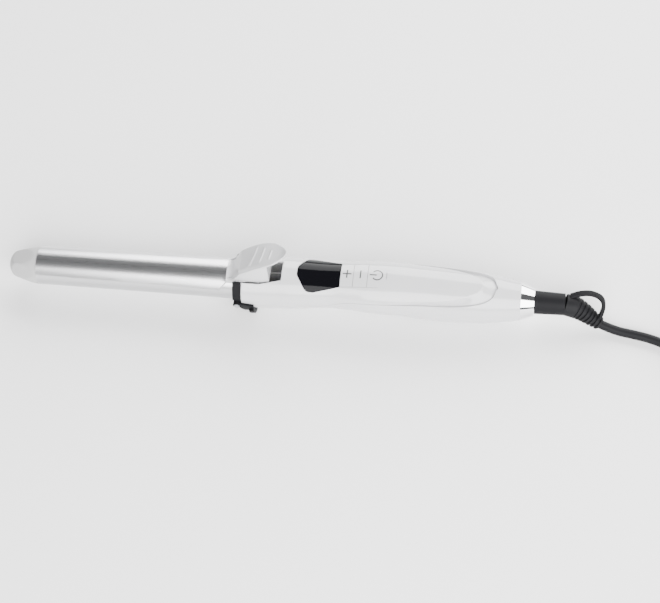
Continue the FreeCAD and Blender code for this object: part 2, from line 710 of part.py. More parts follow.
def make_electrics():
    node("main_board", box("main_board", "board_start", "board_length", "0 - board_half_width",
                           "2 * board_half_width", "board_height", "board_thickness"))
    top = "board_height + board_thickness"
    node("display_module", box("display_module", 203, 19, "0 - 6.5", 13, top, 3.6))
    switches = []
    for name in BUTTONS:
        centre = (BUTTONS[name][0] + BUTTONS[name][1]) / 2
        base = Part.makeBox(5, 5, 1.4, V(centre - 2.5, -2.5, 9.0))
        stud = Part.makeCylinder(1.2, 0.6, V(centre, 0, 10.4))
        switches.append(base.fuse(stud))
    node("tact_switches", feature("tact_switches", Part.makeCompound(switches)))
    node("triac", box("triac", 240, 10, "0 - 5", 10, "board_height - 4.4", 4.4))
    node("fuse", cylinder("fuse", TO_X, "2.2", 9, 226, 5, "board_height - 2.2"))
    node("capacitor", box("capacitor", 212, 12, "0 - 6", 8, "board_height - 8", 8))
    screws = []
    for along, _ in BOARD_SCREWS:
        head = Part.makeCylinder(1.9, 1.2, V(along, 0, size("board_height") - 1.2))
        screws.append(head)
    node("board_screws", feature("board_screws", Part.makeCompound(screws)))
    terminal_start = 198
    heater_end = size("heater_start") + size("heater_length")
    leads, terminals = [], []
    for sign in (-1, 1):
        leads.append(Part.makeCylinder(0.9, terminal_start - heater_end, V(heater_end, sign * 4.2, 5.6),
                                       V(1, 0, 0)))
        terminals.append(Part.makeBox(5, 3.4, size("board_height") - 4,
                                      V(terminal_start, sign * 4.2 - 1.7, 4)))
    node("heater_leads", feature("heater_leads", Part.makeCompound(leads)))
    node("lead_terminals", feature("lead_terminals", Part.makeCompound(terminals)))
    mains = [Part.makeCylinder(0.9, 71, V(261, across, 8.2), V(1, 0, 0)) for across in (-4.6, 4.6)]
    node("mains_leads", feature("mains_leads", Part.makeCompound(mains)))


# Swivel and strain relief

def make_swivel():
    end = "handle_end"
    node("end_ring", turned("end_ring", [
        (end, "8.1"), (f"{end} + ring_length", "8.1"), (f"{end} + ring_length", "ring_rear_radius"),
        (end, "ring_front_radius")]))
    node("swivel_socket", turned("swivel_socket", [
        ("flange_start - 1", "0 + 4"), ("flange_start - 1", "11.2"), ("flange_start + 2", "11.2"),
        (end, "9.8"), (end, "5.6"), ("flange_start + 3.4", "5.6"), ("flange_start + 3.4", "7.5"),
        ("flange_start", "7.5"), ("flange_start", "4")]))
    rings = [turned(f"slip_ring_{number}", [
        (start, "spigot_radius"), (start + 1.2, "spigot_radius"),
        (start + 1.2, "spigot_radius + slip_ring_height"), (start, "spigot_radius + slip_ring_height")])
        for number, start in enumerate((337.4, 339.6))]
    slip_rings = doc.addObject("Part::Compound", "slip_rings")
    slip_rings.Links = rings
    node("slip_rings", slip_rings)
    cup_start = f"{end} + ring_length + 0.3"
    node("swivel_cup", turned("swivel_cup", [
        ("flange_start + 0.3", "0"), ("flange_start + 0.3", "flange_radius"),
        ("flange_start + 3.1", "flange_radius"), ("flange_start + 3.1", "spigot_radius"),
        (cup_start, "spigot_radius"), (cup_start, "cup_front_radius"),
        ("cup_end", "cup_rear_radius"), ("cup_end", "0")]))


# Cord, laid on the surface: a free stretch, a tied hank, and a tail with the plug

CORD_ROUTE = [(394.3, -6.0, -11.6), (404.0, -8.7, -14.2), (417.0, -10.6, -14.2),
              (431.0, -13.6, -14.2), (446.0, -20.4, -14.2), (463.0, -26.6, -14.2),
              (480.0, -30.0, -14.2)]

# The tail's points run from the end of the hank's straight sides and from its middle line.
TAIL_ROUTE = [(-16.0, -24.0, -2.2), (5.0, -24.0, -2.2), (23.0, -21.0, -5.4), (39.0, -14.5, -10.2),
              (54.0, -9.0, -10.2)]
PLUG_ACROSS = -9

RELIEF = [(370.6, 0.0, 0.0), (376.5, -0.6, -1.2), (382.5, -2.0, -4.2), (388.4, -3.9, -8.2),
          (394.3, -6.0, -11.6)]
RELIEF_RADII = [7.1, 7.3, 6.6, 5.5, 4.4]


def make_strain_relief():
    centres = [V(*point) for point in RELIEF]
    curve = Part.BSplineCurve()
    leaving = V(*CORD_ROUTE[1]) - V(*CORD_ROUTE[0])
    leaving.normalize()
    curve.interpolate(Points=centres, InitialTangent=V(1, 0, 0), FinalTangent=leaving)
    rings = []
    for centre, radius in zip(centres, RELIEF_RADII):
        tangent = curve.tangent(curve.parameter(centre))[0]
        rings.append(Part.Wire([Part.Circle(centre, tangent, radius).toShape()]))
    relief = Part.makeLoft(rings, True)
    # The hang loop is a flat strap from the collar end, over the relief and down to its tip.
    path = [V(374.0, 3.0, 6.0), V(380.5, 4.6, 7.6), V(387.0, 5.2, 7.4), V(393.0, 4.0, 5.0),
            V(395.4, 0.8, 0.4), V(393.6, -4.0, -7.9)]
    strap_curve = Part.BSplineCurve()
    strap_curve.interpolate(path)
    start_tangent = strap_curve.tangent(0)[0]
    ring = Part.Wire([Part.Circle(path[0], start_tangent, 1.9).toShape()])
    strap = Part.Wire([strap_curve.toShape()]).makePipeShell([ring], True, True)
    whole = relief.fuse(strap)
    cup_side = Part.makeBox(20, 40, 40, V(350.6, -20, -20))
    whole = whole.cut(cup_side)
    node("strain_relief", feature("strain_relief", whole))
    return whole


def rounded_path(points):
    """Straight runs joined by arcs as large as the runs allow, and the arcs' radii."""
    corners = [V(*point) for point in points]
    edges, radii = [], []
    start = corners[0]
    for before, corner, after in zip(corners, corners[1:], corners[2:]):
        back = before - corner
        ahead = after - corner
        turn = math.pi - back.getAngle(ahead)
        reach = 0.45 * min(back.Length, ahead.Length)
        radii.append(reach / math.tan(turn / 2))
        back.normalize()
        ahead.normalize()
        first = corner + back * reach
        last = corner + ahead * reach
        middle_direction = back + ahead
        middle_direction.normalize()
        gap = radii[-1] / math.cos(turn / 2) - radii[-1]
        edges.append(Part.LineSegment(start, first).toShape())
        edges.append(Part.Arc(first, corner + middle_direction * gap, last).toShape())
        start = last
    edges.append(Part.LineSegment(start, corners[-1]).toShape())
    return Part.Wire(edges), radii


def tube(name, points, radius):
    path, radii = rounded_path(points)
    direction = V(*points[1]) - V(*points[0])
    ring = Part.Wire([Part.Circle(V(*points[0]), direction, radius).toShape()])
    solid = path.makePipeShell([ring], True, False)
    print(name, "radii", [round(value, 1) for value in radii],
          "volume", round(solid.Volume), "section times length", round(math.pi * radius ** 2 * path.Length))
    return solid


def racetrack(radius, up, height):
    """A solid with two straight sides and two half-round ends, seen from above."""
    centre_y = size("hank_across")
    first = size("hank_start") + size("hank_turn_radius") + size("hank_columns") * size("cord_radius")
    last = first + size("hank_straight")
    middle = Part.makeBox(last - first, 2 * radius, height, V(first, centre_y - radius, up))
    ends = [Part.makeCylinder(radius, height, V(along, centre_y, up)) for along in (first, last)]
    return middle.fuse(ends).removeSplitter()


def make_cord(relief):
    floor = -size("axis_height")
    cord = size("cord_radius")
    spread = size("hank_columns") * cord
    height = size("hank_layers") * 2 * cord
    middle = size("hank_turn_radius")
    tie = size("tie_thickness")
    outer = racetrack(middle + spread, floor, height)
    hank = outer.cut(racetrack(middle - spread, floor - 1, height + 2))
    strap_start = size("hank_start") + middle + spread + size("hank_straight") / 2 - size("tie_width") / 2
    groove = Part.makeBox(size("tie_width") + 0.6, 80, tie + 0.1, V(strap_start - 0.3, -50, floor - 0.05))
    hank = hank.cut(groove)
    node("cord_hank", feature("cord_hank", hank))
    solid = tube("cord", CORD_ROUTE, cord).cut(outer).cut(relief)
    node("cord", feature("cord", solid))
    half = middle + spread
    across = size("hank_across")
    band = Part.makeBox(size("tie_width"), 2 * (half + tie), height + 2 * tie,
                        V(strap_start, across - half - tie, floor))
    hole = Part.makeBox(size("tie_width"), 2 * half, height, V(strap_start, across - half, floor + tie))
    band = band.cut(hole)
    node("cord_tie", feature("cord_tie", band.cut(hank)))
    last = size("hank_start") + middle + spread + size("hank_straight")
    tail_points = [(last + along, across + aside, up) for along, aside, up in TAIL_ROUTE]
    plug = tail_points[-1][0] + 6
    across += PLUG_ACROSS
    axis_up = tail_points[-1][2]
    plug_solid = plug_shape(plug, across, axis_up)
    node("plug_body", feature("plug_body", plug_solid))
    tail = tube("cord_tail", tail_points, cord).cut(outer).cut(plug_solid)
    tail = max(tail.Solids, key=lambda piece: piece.Volume)
    node("cord_tail", feature("cord_tail", tail))
    spacing = size("prong_spacing") / 2
    prongs = []
    for sign in (-1, 1):
        base = V(plug + size("plug_length"), across + sign * spacing, axis_up)
        prongs.append(Part.makeCylinder(size("prong_radius"), size("prong_length"), base, V(1, 0, 0)))
    node("plug_pins", feature("plug_pins", Part.makeCompound(prongs)))


def plug_shape(start, across, up):
    """A flat two-pin plug: a boot that grows from the cord into a flat rounded body."""
    half = size("plug_half_width")
    low = size("plug_thickness") / 2
    stations = [(-6, 4.2, 4.2), (8, 5.5, 5.0), (18, 11.0, low - 0.6), (26, half - 0.6, low), (36, half, low)]
    wires = []
    for along, wide, tall in stations:
        centre = V(start + along, across, up)
        if wide > tall:
            oval = Part.Ellipse(centre + V(0, wide, 0), centre + V(0, 0, tall), centre)
        else:
            oval = Part.Circle(centre, V(1, 0, 0), wide)
        wires.append(Part.Wire([oval.toShape()]))
    return Part.makeLoft(wires, True)


def export():
    doc.recompute()
    for thing in doc.Objects:
        if {"Invalid", "Error"} & set(thing.State):
            raise RuntimeError(f"{thing.Name}: {thing.State}")
    for name, thing in NODES.items():
        if thing.Shape.isNull() or not thing.Shape.isValid():
            raise RuntimeError(f"{name}: the shape is null or not valid")
    os.makedirs("parts", exist_ok=True)
    for name, thing in NODES.items():
        thing.Shape.exportStep(f"parts/{name}.step")
        box_of = thing.Shape.BoundBox
        print(f"{name:20s} solids {len(thing.Shape.Solids)} volume {thing.Shape.Volume:9.1f} "
              f"z {box_of.ZMin:7.2f} {box_of.ZMax:7.2f} x {box_of.XMin:7.1f} {box_of.XMax:7.1f}")


make_heated_end()
make_collar()
make_clamp_hinge()
make_clamp_spring()
make_lever(make_blade())
make_stand()
make_handle()
make_electrics()
make_swivel()
make_cord(make_strain_relief())
export()
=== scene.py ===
import json
import math

import bmesh
import bpy
from mathutils import Matrix, Vector

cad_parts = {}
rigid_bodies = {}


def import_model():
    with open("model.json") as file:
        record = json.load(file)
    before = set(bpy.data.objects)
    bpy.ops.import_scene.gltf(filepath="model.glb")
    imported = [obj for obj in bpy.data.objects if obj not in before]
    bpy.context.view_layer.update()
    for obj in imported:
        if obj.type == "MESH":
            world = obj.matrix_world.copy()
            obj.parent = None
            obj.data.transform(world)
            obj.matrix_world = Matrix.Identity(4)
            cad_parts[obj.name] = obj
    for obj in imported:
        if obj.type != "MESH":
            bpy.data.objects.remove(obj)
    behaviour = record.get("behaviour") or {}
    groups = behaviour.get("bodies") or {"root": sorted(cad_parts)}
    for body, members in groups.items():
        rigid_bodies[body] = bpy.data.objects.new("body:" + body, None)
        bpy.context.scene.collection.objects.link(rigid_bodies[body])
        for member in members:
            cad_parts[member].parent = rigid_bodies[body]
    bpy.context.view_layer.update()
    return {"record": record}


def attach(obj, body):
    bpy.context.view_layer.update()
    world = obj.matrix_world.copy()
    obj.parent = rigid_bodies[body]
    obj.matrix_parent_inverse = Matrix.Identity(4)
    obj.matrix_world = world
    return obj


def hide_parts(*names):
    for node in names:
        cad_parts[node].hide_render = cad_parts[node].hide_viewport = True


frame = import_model()

# Places are written as (along, across, up) in millimetres: along from the nose of the cool
# tip, across and up from the barrel's axis. point() turns them into the frame's metres.

MM = 0.001
MIDDLE = 185.5
AXIS_UP = 17.2


def point(along, across, up):
    return Vector(((along - MIDDLE) * MM, across * MM, (up + AXIS_UP) * MM))


# Materials

# Plastic is mottled in colour and gloss between these shares, and metal is marked between its own.
MOTTLE_SCALE = 60
MOTTLE_TINT = (0.97, 1.03)
MOTTLE_GLOSS = (0.85, 1.15)
MARK_TINT = (0.94, 1.04)
MARK_GLOSS = (0.8, 1.2)
GRAIN_DEPTH = 0.0002
MARK_DEPTH = 0.0001
SMOOTH_ANGLE = 40


def new_material(name, color, roughness, metallic=0.0, **sockets):
    material = bpy.data.materials.new(name)
    material.use_nodes = True
    shader = material.node_tree.nodes["Principled BSDF"]
    shader.inputs["Base Color"].default_value = (*color, 1)
    shader.inputs["Roughness"].default_value = roughness
    shader.inputs["Metallic"].default_value = metallic
    for socket, value in sockets.items():
        shader.inputs[socket.replace("_", " ")].default_value = value
    return material, material.node_tree, shader


def noise(tree, scale, detail=3.0, stretch=(1, 1, 1)):
    where = tree.nodes.new("ShaderNodeTexCoord")
    mapping = tree.nodes.new("ShaderNodeMapping")
    mapping.inputs["Scale"].default_value = stretch
    texture = tree.nodes.new("ShaderNodeTexNoise")
    texture.inputs["Scale"].default_value = scale
    texture.inputs["Detail"].default_value = detail
    tree.links.new(where.outputs["Object"], mapping.inputs["Vector"])
    tree.links.new(mapping.outputs["Vector"], texture.inputs["Vector"])
    return texture.outputs["Fac"]


def ramp(tree, factor, low, high):
    colors = tree.nodes.new("ShaderNodeValToRGB")
    colors.color_ramp.elements[0].color = (*low, 1)
    colors.color_ramp.elements[1].color = (*high, 1)
    tree.links.new(factor, colors.inputs["Fac"])
    return colors.outputs["Color"]


def spread(tree, factor, low, high):
    band = tree.nodes.new("ShaderNodeMapRange")
    band.inputs["To Min"].default_value = low
    band.inputs["To Max"].default_value = high
    tree.links.new(factor, band.inputs["Value"])
    return band.outputs["Result"]


def bump(tree, shader, height, strength, distance):
    relief = tree.nodes.new("ShaderNodeBump")
    relief.inputs["Strength"].default_value = strength
    relief.inputs["Distance"].default_value = distance
    tree.links.new(height, relief.inputs["Height"])
    tree.links.new(relief.outputs["Normal"], shader.inputs["Normal"])


def shade_of(color, factor):
    return tuple(min(1.0, part * factor) for part in color)


def plastic(name, color, roughness, grain=900, strength=0.04, **sockets):
    """Moulded plastic: a faint mottling of colour and gloss over a fine grain."""
    material, tree, shader = new_material(name, color, roughness, **sockets)
    cloud = noise(tree, MOTTLE_SCALE)
    tint = ramp(tree, cloud, *(shade_of(color, share) for share in MOTTLE_TINT))
    gloss = spread(tree, cloud, *(roughness * share for share in MOTTLE_GLOSS))
    tree.links.new(tint, shader.inputs["Base Color"])
    tree.links.new(gloss, shader.inputs["Roughness"])
    bump(tree, shader, noise(tree, grain), strength, GRAIN_DEPTH)
    return material


def metal(name, color, roughness, stretch=(1, 1, 1), scale=400, strength=0.03):
    """Metal with fine marks, drawn out where the finish is brushed."""
    material, tree, shader = new_material(name, color, roughness, metallic=1.0)
    marks = noise(tree, scale, 4.0, stretch)
    tint = ramp(tree, marks, *(shade_of(color, share) for share in MARK_TINT))
    gloss = spread(tree, marks, *(roughness * share for share in MARK_GLOSS))
    tree.links.new(tint, shader.inputs["Base Color"])
    tree.links.new(gloss, shader.inputs["Roughness"])
    bump(tree, shader, marks, strength, MARK_DEPTH)
    return material


# Plastic's last two numbers are its grain's scale and strength; metal's are the stretch and
# scale of its marks and their strength.
MATERIALS = {
    "white_gloss": plastic("white_gloss", (0.56, 0.56, 0.57), 0.20, 300, 0.01,
                           Coat_Weight=0.5, Coat_Roughness=0.05),
    "tip_plastic": plastic("tip_plastic", (0.40, 0.40, 0.40), 0.42, 1500, 0.05),
    "barrel_metal": metal("barrel_metal", (0.60, 0.60, 0.61), 0.29, (1, 60, 60), 90, 0.008),
    "steel": metal("steel", (0.55, 0.56, 0.58), 0.3),
    "black_plastic": plastic("black_plastic", (0.008, 0.008, 0.009), 0.55, 1200, 0.05,
                             Specular_IOR_Level=0.07),
    "heat_plastic": plastic("heat_plastic", (0.50, 0.46, 0.38), 0.55),
    "heater_ceramic": plastic("heater_ceramic", (0.80, 0.78, 0.74), 0.7, 700, 0.1),
    "spreader_metal": metal("spreader_metal", (0.75, 0.76, 0.77), 0.35, (1, 40, 40), 50),
    "sensor_glass": plastic("sensor_glass", (0.8, 0.45, 0.2), 0.08, 500, 0.01),
    "lens_black": plastic("lens_black", (0.003, 0.003, 0.004), 0.07, 300, 0.004,
                          Specular_IOR_Level=0.08),
    "display": plastic("display", (0.08, 0.08, 0.09), 0.4),
    "board_green": plastic("board_green", (0.02, 0.16, 0.07), 0.4, 600, 0.08),
    "fuse_glass": plastic("fuse_glass", (0.75, 0.80, 0.80), 0.06, 500, 0.01),
    "wire_sleeve": plastic("wire_sleeve", (0.20, 0.20, 0.20), 0.5, 2500, 0.2),
    "chrome_trim": metal("chrome_trim", (0.88, 0.88, 0.89), 0.05, strength=0.004),
    "contact_brass": metal("contact_brass", (0.80, 0.60, 0.28), 0.25),
    "relief_rubber": plastic("relief_rubber", (0.008, 0.008, 0.009), 0.55, 1600, 0.07,
                             Specular_IOR_Level=0.1),
    "pin_metal": metal("pin_metal", (0.80, 0.80, 0.80), 0.15, strength=0.01),
    "sign_grey": plastic("sign_grey", (0.05, 0.05, 0.05), 0.5),
}


def give_slot(piece, slot):
    piece.data.materials.clear()
    piece.data.materials.append(MATERIALS[slot])


def smooth(mesh):
    for polygon in mesh.polygons:
        polygon.use_smooth = True
    mesh.set_sharp_from_angle(angle=math.radians(SMOOTH_ANGLE))


def outward(mesh):
    work = bmesh.new()
    work.from_mesh(mesh)
    bmesh.ops.recalc_face_normals(work, faces=work.faces)
    work.to_mesh(mesh)
    work.free()


def mesh_piece(name, corners, faces, slot, body, replaced=()):
    mesh = bpy.data.meshes.new(name)
    mesh.from_pydata(corners, [], faces)
    mesh.validate()
    piece = bpy.data.objects.new(name, mesh)
    bpy.context.collection.objects.link(piece)
    give_slot(piece, slot)
    smooth(mesh)
    outward(mesh)
    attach(piece, body)
    if replaced:
        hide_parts(*replaced)
    return piece


# Shape helpers


def ease(value, start, end):
    """0 before start, 1 after end, and a smooth rise between them."""
    part = min(1.0, max(0.0, (value - start) / (end - start)))
    return part * part * (3 - 2 * part)


def slope(table, number, column):
    before = table[max(number - 1, 0)]
    after = table[min(number + 1, len(table) - 1)]
    return (after[column] - before[column]) / (after[0] - before[0])


def along_curve(table, value, column=1):
    """A smooth curve through a table of rows that start with the place along it."""
    value = min(max(value, table[0][0]), table[-1][0])
    number = 0
    while number < len(table) - 2 and table[number + 1][0] < value:
        number += 1
    first, last = table[number], table[number + 1]
    gap = last[0] - first[0]
    part = (value - first[0]) / gap
    rise = slope(table, number, column) * gap
    leave = slope(table, number + 1, column) * gap
    square, cube = part ** 2, part ** 3
    return (first[column] * (2 * cube - 3 * square + 1) + rise * (cube - 2 * square + part)
            + last[column] * (3 * square - 2 * cube) + leave * (cube - square))


def straight(table, value):
    """The second column of such a table, on straight runs between its rows."""
    value = min(max(value, table[0][0]), table[-1][0])
    for first, last in zip(table, table[1:]):
        if value <= last[0]:
            break
    return first[1] + (last[1] - first[1]) * (value - first[0]) / (last[0] - first[0])


def stations(start, end, step, extra):
    """Even places from start to end; an extra place takes over from those close to it."""
    count = math.ceil((end - start) / step)
    places = [start + (end - start) * number / count for number in range(count + 1)]
    places = [place for place in places if all(abs(place - fixed) > step / 4 for fixed in extra)]
    return sorted(places + list(extra))


def rings_to_mesh(rings, caps=True):
    """Closed rings of points joined side by side, with a face over each end."""
    size = len(rings[0])
    corners = [corner for ring in rings for corner in ring]
    faces = []
    for number in range(len(rings) - 1):
        base = number * size
        for step in range(size):
            after = (step + 1) % size
            faces.append((base + step, base + after, base + size + after, base + size + step))
    if caps:
        faces.append(tuple(reversed(range(size))))
        faces.append(tuple(range(len(corners) - size, len(corners))))
    return corners, faces


def shifted(faces, shift):
    """Faces renumbered to follow that many earlier corners."""
    return [tuple(corner + shift for corner in face) for face in faces]


# Handle: one skin for both shells, with their seam, the sunk bed of the display and the
# keys, the lever's slot, and the hollow between the two teardrop lines at the rear

SECTIONS = [
    (160.3, 17.5, 17.1, 0.0), (167.0, 17.48, 17.08, 0.12), (175.0, 17.4, 17.0, 0.4),
    (184.0, 17.25, 16.8, 0.9), (193.0, 17.1, 16.6, 1.5), (217.5, 15.7, 14.9, 3.1),
    (231.5, 16.4, 15.2, 3.7), (244.0, 17.5, 15.8, 3.8), (263.5, 17.7, 16.4, 3.4),
    (283.0, 17.7, 17.4, 1.6), (298.0, 17.6, 17.55, 0.5), (310.0, 16.95, 16.9, 0.2),
    (322.5, 15.95, 15.9, 0.1), (335.0, 13.95, 13.9, 0.0), (342.0, 12.6, 12.6, 0.0)]
SEAM = [(158.0, -1.8), (190.0, -0.6), (208.0, 0.6), (216.0, 2.4), (223.0, 5.2), (231.5, 7.8),
        (250.0, 9.6), (275.0, 10.6), (298.0, 10.6), (311.0, 11.2), (319.5, 12.6), (325.0, 14.7),
        (328.5, 18.5)]
BED_WIDTH = [(160.3, 10.2), (172.0, 10.2), (186.5, 7.3), (196.5, 2.6), (197.0, 4.0), (198.2, 6.0),
             (201.6, 10.9), (203.2, 12.1), (205.0, 12.45), (208.0, 12.4), (225.0, 8.85),
             (248.3, 8.4), (250.5, 7.9), (252.5, 6.8), (254.0, 5.2), (254.9, 3.4), (255.3, 1.8),
             (262.0, 3.2), (275.0, 5.0), (300.0, 5.0), (318.0, 4.0), (325.0, 0.8), (342.0, 0.8)]
HANDLE_FRONT = SECTIONS[0][0]
HANDLE_END = SECTIONS[-1][0]
HANDLE_STEP = 0.75
HANDLE_WALL = 1.6
SLOT_END = 186.5
BED_START = 196.55
BED_END = 255.3
BED_DEPTH = 1.3
BED_RIM = 0.1
BED_RIM_SHARE = 0.1
# The bed reaches no further round the handle than this part of the way to the seam.
BED_REACH = 0.8
SEAM_HALF = 0.26
SEAM_DEPTH = 0.6
# How much of the hollow's depth is added to the seam's own.
SEAM_HOLLOW_SHARE = 0.5
SEAM_FADE = 322.0
SEAM_TOP = 326.6
# The seam's smallest turn from the top, and how far it opens again behind its top.
SEAM_LEAST = 0.09
SEAM_OPENING = 0.9
# Steps round half a ring: over the bed, from the bed to the seam, and under the seam.
BED_STEPS = 14
SIDE_STEPS = 26
UNDER_STEPS = 40
TEARDROP_START = 246.0
TEARDROP_FULL = 300.0
TEARDROP_ROUND = 309.5
TEARDROP_TIP = 317.6
TEARDROP_DEPTH = 1.7
# How far the inner teardrop line lies inside the seam, measured round the handle.
TEARDROP_INSET = [(TEARDROP_START, 0.3), (262.0, 1.4), (271.9, 2.5), (288.2, 3.2), (300.7, 4.9),
                  (TEARDROP_ROUND, 6.6), (314.5, 8.2), (TEARDROP_TIP, 11.6)]


def handle_at(along):
    return [along_curve(SECTIONS, along, column) for column in (1, 2, 3)]


def handle_place(along, turn, sink=0.0):
    """A point of the handle's skin; turn is the angle from the top, towards +Y."""
    half_width, half_height, rise = handle_at(along)
    return (along, (half_width - sink) * math.sin(turn), rise + (half_height - sink) * math.cos(turn))


def seam_turn(along):
    if along > SEAM_TOP:
        return SEAM_LEAST + SEAM_OPENING * ease(along, SEAM_TOP, HANDLE_END)
    half_height, rise = handle_at(along)[1:]
    closeness = (along_curve(SEAM, along) - rise) / half_height
    return max(SEAM_LEAST, math.acos(min(1.0, closeness)))


def hollow_depth(along, turn):
    """The depth between the teardrop lines: none at the inner one, deepest at the seam."""
    if along < TEARDROP_START or along > SEAM_TOP:
        return 0.0
    radius = handle_at(along)[0]
    inset = straight(TEARDROP_INSET, along)
    outer = (seam_turn(along) - abs(turn)) * radius
    if along <= TEARDROP_ROUND:
        part = outer / inset
    else:
        if outer > 0:
            outer = min(outer, SEAM_TOP - along)
        if along < TEARDROP_TIP:
            inner = (abs(turn) - seam_turn(along) + inset / radius) * radius
        else:
            inner = math.hypot(along - TEARDROP_TIP, turn * radius)
        inner = max(0.0, inner)
        part = outer / (outer + inner) if outer + inner > 0 else 1.0
    part = min(1.0, max(0.0, part))
    depth = TEARDROP_DEPTH * ease(along, TEARDROP_START, TEARDROP_FULL)
    return depth * math.sin(math.pi / 2 * (1 - part))


def handle_half(along):
    """Half a ring of turns and depths, from the top down to the bottom."""
    half_width = handle_at(along)[0]
    seam = seam_turn(along)
    groove = SEAM_HALF / half_width
    bed = min(math.asin(straight(BED_WIDTH, along) / half_width), seam * BED_REACH)
    side = bed + min(BED_RIM / half_width, (seam - groove - bed) * BED_RIM_SHARE)
    side_span = seam - groove - side
    under = seam + groove
    bed_turns = [bed * step / BED_STEPS for step in range(BED_STEPS + 1)]
    side_turns = [side + side_span * step / SIDE_STEPS for step in range(SIDE_STEPS + 1)]
    in_bed = BED_START <= along <= BED_END
    half = [(turn, BED_DEPTH if in_bed else hollow_depth(along, turn)) for turn in bed_turns]
    half += [(turn, hollow_depth(along, turn)) for turn in side_turns]
    groove_depth = SEAM_DEPTH * (1 - ease(along, SEAM_FADE, SEAM_TOP))
    half.append((seam, groove_depth + hollow_depth(along, seam) * SEAM_HOLLOW_SHARE))
    half += [(under + (math.pi - under) * step / UNDER_STEPS, 0.0) for step in range(UNDER_STEPS + 1)]
    return half


def make_handle():
    edges = (HANDLE_FRONT, SLOT_END, BED_START - BED_RIM, BED_START, BED_END, BED_END + BED_RIM,
             TEARDROP_TIP, SEAM_TOP, HANDLE_END)
    places = stations(HANDLE_FRONT, HANDLE_END, HANDLE_STEP, edges)
    rings = []
    for along in places:
        right = handle_half(along)
        left = [(-turn, depth) for turn, depth in reversed(right[1:-1])]
        rings.append([point(*handle_place(along, turn, depth)) for turn, depth in right + left])
    corners, faces = rings_to_mesh(rings, caps=False)
    size = len(rings[0])
    slot_rings = places.index(SLOT_END)
    kept = []
    for face in faces:
        ring, step = divmod(face[0], size)
        over_lever = step < BED_STEPS or step >= size - BED_STEPS
        if ring >= slot_rings or not over_lever:
            kept.append(face)
    handle = mesh_piece("handle_shells", corners, kept, "white_gloss", "iron",
                        ("upper_shell", "lower_shell"))
    wall = handle.modifiers.new("wall", "SOLIDIFY")
    wall.thickness = HANDLE_WALL * MM
    wall.offset = -1


# Lever: a dished thumb pad with a raised rim and three grip ridges, on a web over the clamp

LEVER_TOP = [(149.9, 14.9), (152.0, 16.8), (157.0, 21.0), (163.0, 26.0), (169.0, 30.4), (176.0, 34.3),
             (184.0, 37.3), (188.0, 38.6), (191.2, 39.85)]
LEVER_HALF = [(149.9, 8.6), (153.0, 9.1), (158.0, 9.6), (168.0, 9.9), (176.0, 9.5), (182.0, 8.4),
              (186.0, 6.6), (189.0, 4.4), (190.6, 2.4), (191.1, 0.9), (191.2, 0.3)]
LEVER_LEAST_HALF = 0.3
LEVER_STEP = 0.4
LEVER_RIDGES = [((166.6, -5.2), (170.4, 7.4)), ((173.4, -4.0), (175.6, 5.6)),
                ((179.4, -2.6), (180.6, 3.0))]
RIDGE_HEIGHT = 0.75
RIDGE_HALF = 0.5
# The rim's radius, its largest share of the half width, and how many radii it reaches down.
RIM = 0.8
RIM_SHARE = 0.45
RIM_FOOT = 2.3
REAR_FOOT = 2.4
DISH_DEPTH = 1.5
DISH_START = 152.0
DISH_FULL = 166.0
DISH_CURVE = 2.6
DISH_HALF = 7.0
# In front the pad bends down to the clamp's blade: fully at HUG_START, no more at HUG_END. As
# far as CLEAR_END it goes no deeper into the blade than CLEAR_SINK.
HUG_START = 150.5
HUG_END = 160.0
HUG_RISE = 0.55
CLEAR_END = 161.0
CLEAR_SINK = 0.15
WEB_REAR = 178.5
WEB_BOTTOM = 13.4
BLADE_OUTER = 14.95
# The web stands WEB_INSET inside the pad's flat, and keeps WEB_SHARE of it where it is narrow.
WEB_INSET = 0.7
WEB_SHARE = 0.6
# Where there is no hollow, the underside's inner places are at this share of the web.
SOLID_SHARE = 0.7
WEB_HALF = [(149.0, 8.9), (171.0, 8.9), (179.5, 7.2)]
# The web is hollow from below, over the hinge's bracket and pin.
CAVITY_FRONT = 161.6
CAVITY_REAR = 176.4
CAVITY_HALF = [(CAVITY_FRONT, 8.0), (170.0, 8.0), (WEB_REAR, 6.4)]
CAVITY_TOP = [(CAVITY_FRONT, 21.6), (168.2, 27.0), (CAVITY_REAR, 31.2)]
# Two sections this far apart stand for an upright wall.
WALL_STEP = 0.05
LEVER_EDGES = (CAVITY_FRONT - WALL_STEP, CAVITY_FRONT, CAVITY_REAR, CAVITY_REAR + WALL_STEP,
               WEB_REAR, WEB_REAR + WALL_STEP, 190.8, 191.1)
# Steps across half the pad, down the rim, down the web, and across the roof of the hollow.
PAD_STEPS = 20
RIM_STEPS = 6
WEB_STEPS = 4
ROOF_STEPS = 4


def ridge_height(along, across):
    height = 0.0
    for (start_along, start_across), (end_along, end_across) in LEVER_RIDGES:
        start = Vector((start_along, start_across))
        run = Vector((end_along, end_across)) - start
        part = (Vector((along, across)) - start).dot(run) / run.length_squared
        part = min(1.0, max(0.0, part))
        distance = (Vector((along, across)) - start - run * part).length
        height = max(height, RIDGE_HEIGHT * math.exp(-(distance / RIDGE_HALF) ** 2))
    return height


